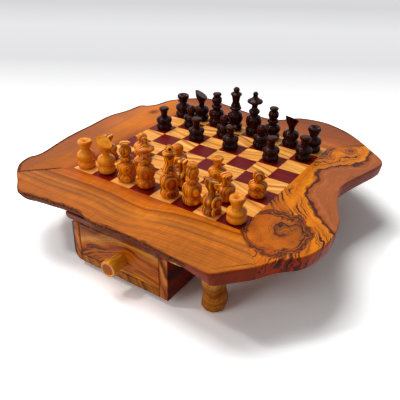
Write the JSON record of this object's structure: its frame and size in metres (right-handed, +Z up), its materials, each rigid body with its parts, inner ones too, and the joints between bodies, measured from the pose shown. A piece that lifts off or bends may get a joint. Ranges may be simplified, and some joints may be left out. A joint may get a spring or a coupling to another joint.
{
  "type": "chess board with drawers",
  "caption": "Live-edge wooden chess board with an inlaid field, on short legs over a casing with sliding drawers, and a full set of turned pieces that lift off.",
  "frame": {"origin": "on the ground, under the middle of the whole object's box", "axes": "+Z up, -Y towards the front drawer and the light pieces, +X to the right seen from there"},
  "size_m": [0.501, 0.507, 0.185],
  "materials": {
    "figured_olive": "oiled, satin",
    "casing_olive": "oiled, satin",
    "pale_olive": "oiled, satin",
    "red_wood": "stained, satin",
    "turned_olive": "waxed",
    "dark_wood": "stained, gloss",
    "leg_olive": "oiled, satin",
    "screw_steel": "plain"
  },
  "bodies": {
    "board": {"front_plank": "figured_olive", "right_plank": "figured_olive", "back_plank": "figured_olive", "left_plank": "figured_olive", "core_board": "pale_olive", "light_squares": "pale_olive", "dark_squares": "red_wood", "leg_front_right": "leg_olive", "leg_front_left": "leg_olive", "leg_back_right": "leg_olive", "leg_back_left": "leg_olive", "case_plate": "casing_olive", "case_left_side": "casing_olive", "case_right_side": "casing_olive", "case_bottom": "casing_olive", "case_divider": "pale_olive", "dowels": "pale_olive", "plate_screws": "screw_steel"},
    "front_drawer": {"front_drawer_face": "casing_olive", "front_drawer_sides": "pale_olive", "front_drawer_back": "pale_olive", "front_drawer_bottom": "pale_olive", "front_drawer_knob": "turned_olive"},
    "far_drawer": {"far_drawer_face": "casing_olive", "far_drawer_sides": "pale_olive", "far_drawer_back": "pale_olive", "far_drawer_bottom": "pale_olive", "far_drawer_knob": "turned_olive"},
    "light_rook_left": {"light_rook_left": "turned_olive"},
    "light_knight_left": {"light_knight_left": "turned_olive"},
    "light_bishop_left": {"light_bishop_left": "turned_olive"},
    "light_queen": {"light_queen": "turned_olive"},
    "light_king": {"light_king": "turned_olive"},
    "light_bishop_right": {"light_bishop_right": "turned_olive"},
    "light_knight_right": {"light_knight_right": "turned_olive"},
    "light_rook_right": {"light_rook_right": "turned_olive"},
    "light_pawn_1": {"light_pawn_1": "turned_olive"},
    "light_pawn_2": {"light_pawn_2": "turned_olive"},
    "light_pawn_3": {"light_pawn_3": "turned_olive"},
    "light_pawn_4": {"light_pawn_4": "turned_olive"},
    "light_pawn_5": {"light_pawn_5": "turned_olive"},
    "light_pawn_6": {"light_pawn_6": "turned_olive"},
    "light_pawn_7": {"light_pawn_7": "turned_olive"},
    "light_pawn_8": {"light_pawn_8": "turned_olive"},
    "dark_rook_left": {"dark_rook_left": "dark_wood"},
    "dark_knight_left": {"dark_knight_left": "dark_wood"},
    "dark_bishop_left": {"dark_bishop_left": "dark_wood"},
    "dark_king": {"dark_king": "dark_wood"},
    "dark_queen": {"dark_queen": "dark_wood"},
    "dark_bishop_right": {"dark_bishop_right": "dark_wood"},
    "dark_knight_right": {"dark_knight_right": "dark_wood"},
    "dark_rook_right": {"dark_rook_right": "dark_wood"},
    "dark_pawn_1": {"dark_pawn_1": "dark_wood"},
    "dark_pawn_2": {"dark_pawn_2": "dark_wood"},
    "dark_pawn_3": {"dark_pawn_3": "dark_wood"},
    "dark_pawn_4": {"dark_pawn_4": "dark_wood"},
    "dark_pawn_5": {"dark_pawn_5": "dark_wood"},
    "dark_pawn_6": {"dark_pawn_6": "dark_wood"},
    "dark_pawn_7": {"dark_pawn_7": "dark_wood"},
    "dark_pawn_8": {"dark_pawn_8": "dark_wood"}
  },
  "joints": [
    {"name": "front_drawer_slide", "type": "slide", "parent": "board", "child": "front_drawer", "axis": [0, -1, 0], "range_m": [0, 0.15]},
    {"name": "far_drawer_slide", "type": "slide", "parent": "board", "child": "far_drawer", "axis": [0, 1, 0], "range_m": [0, 0.15]},
    {"name": "light_rook_left_lift", "type": "slide", "parent": "board", "child": "light_rook_left", "axis": [0, 0, 1], "range_m": [0, 0.09]},
    {"name": "light_knight_left_lift", "type": "slide", "parent": "board", "child": "light_knight_left", "axis": [0, 0, 1], "range_m": [0, 0.09]},
    {"name": "light_bishop_left_lift", "type": "slide", "parent": "board", "child": "light_bishop_left", "axis": [0, 0, 1], "range_m": [0, 0.09]},
    {"name": "light_queen_lift", "type": "slide", "parent": "board", "child": "light_queen", "axis": [0, 0, 1], "range_m": [0, 0.09]},
    {"name": "light_king_lift", "type": "slide", "parent": "board", "child": "light_king", "axis": [0, 0, 1], "range_m": [0, 0.09]},
    {"name": "light_bishop_right_lift", "type": "slide", "parent": "board", "child": "light_bishop_right", "axis": [0, 0, 1], "range_m": [0, 0.09]},
    {"name": "light_knight_right_lift", "type": "slide", "parent": "board", "child": "light_knight_right", "axis": [0, 0, 1], "range_m": [0, 0.09]},
    {"name": "light_rook_right_lift", "type": "slide", "parent": "board", "child": "light_rook_right", "axis": [0, 0, 1], "range_m": [0, 0.09]},
    {"name": "light_pawn_1_lift", "type": "slide", "parent": "board", "child": "light_pawn_1", "axis": [0, 0, 1], "range_m": [0, 0.09]},
    {"name": "light_pawn_2_lift", "type": "slide", "parent": "board", "child": "light_pawn_2", "axis": [0, 0, 1], "range_m": [0, 0.09]},
    {"name": "light_pawn_3_lift", "type": "slide", "parent": "board", "child": "light_pawn_3", "axis": [0, 0, 1], "range_m": [0, 0.09]},
    {"name": "light_pawn_4_lift", "type": "slide", "parent": "board", "child": "light_pawn_4", "axis": [0, 0, 1], "range_m": [0, 0.09]},
    {"name": "light_pawn_5_lift", "type": "slide", "parent": "board", "child": "light_pawn_5", "axis": [0, 0, 1], "range_m": [0, 0.09]},
    {"name": "light_pawn_6_lift", "type": "slide", "parent": "board", "child": "light_pawn_6", "axis": [0, 0, 1], "range_m": [0, 0.09]},
    {"name": "light_pawn_7_lift", "type": "slide", "parent": "board", "child": "light_pawn_7", "axis": [0, 0, 1], "range_m": [0, 0.09]},
    {"name": "light_pawn_8_lift", "type": "slide", "parent": "board", "child": "light_pawn_8", "axis": [0, 0, 1], "range_m": [0, 0.09]},
    {"name": "dark_rook_left_lift", "type": "slide", "parent": "board", "child": "dark_rook_left", "axis": [0, 0, 1], "range_m": [0, 0.09]},
    {"name": "dark_knight_left_lift", "type": "slide", "parent": "board", "child": "dark_knight_left", "axis": [0, 0, 1], "range_m": [0, 0.09]},
    {"name": "dark_bishop_left_lift", "type": "slide", "parent": "board", "child": "dark_bishop_left", "axis": [0, 0, 1], "range_m": [0, 0.09]},
    {"name": "dark_king_lift", "type": "slide", "parent": "board", "child": "dark_king", "axis": [0, 0, 1], "range_m": [0, 0.09]},
    {"name": "dark_queen_lift", "type": "slide", "parent": "board", "child": "dark_queen", "axis": [0, 0, 1], "range_m": [0, 0.09]},
    {"name": "dark_bishop_right_lift", "type": "slide", "parent": "board", "child": "dark_bishop_right", "axis": [0, 0, 1], "range_m": [0, 0.09]},
    {"name": "dark_knight_right_lift", "type": "slide", "parent": "board", "child": "dark_knight_right", "axis": [0, 0, 1], "range_m": [0, 0.09]},
    {"name": "dark_rook_right_lift", "type": "slide", "parent": "board", "child": "dark_rook_right", "axis": [0, 0, 1], "range_m": [0, 0.09]},
    {"name": "dark_pawn_1_lift", "type": "slide", "parent": "board", "child": "dark_pawn_1", "axis": [0, 0, 1], "range_m": [0, 0.09]},
    {"name": "dark_pawn_2_lift", "type": "slide", "parent": "board", "child": "dark_pawn_2", "axis": [0, 0, 1], "range_m": [0, 0.09]},
    {"name": "dark_pawn_3_lift", "type": "slide", "parent": "board", "child": "dark_pawn_3", "axis": [0, 0, 1], "range_m": [0, 0.09]},
    {"name": "dark_pawn_4_lift", "type": "slide", "parent": "board", "child": "dark_pawn_4", "axis": [0, 0, 1], "range_m": [0, 0.09]},
    {"name": "dark_pawn_5_lift", "type": "slide", "parent": "board", "child": "dark_pawn_5", "axis": [0, 0, 1], "range_m": [0, 0.09]},
    {"name": "dark_pawn_6_lift", "type": "slide", "parent": "board", "child": "dark_pawn_6", "axis": [0, 0, 1], "range_m": [0, 0.09]},
    {"name": "dark_pawn_7_lift", "type": "slide", "parent": "board", "child": "dark_pawn_7", "axis": [0, 0, 1], "range_m": [0, 0.09]},
    {"name": "dark_pawn_8_lift", "type": "slide", "parent": "board", "child": "dark_pawn_8", "axis": [0, 0, 1], "range_m": [0, 0.09]}
  ]
}
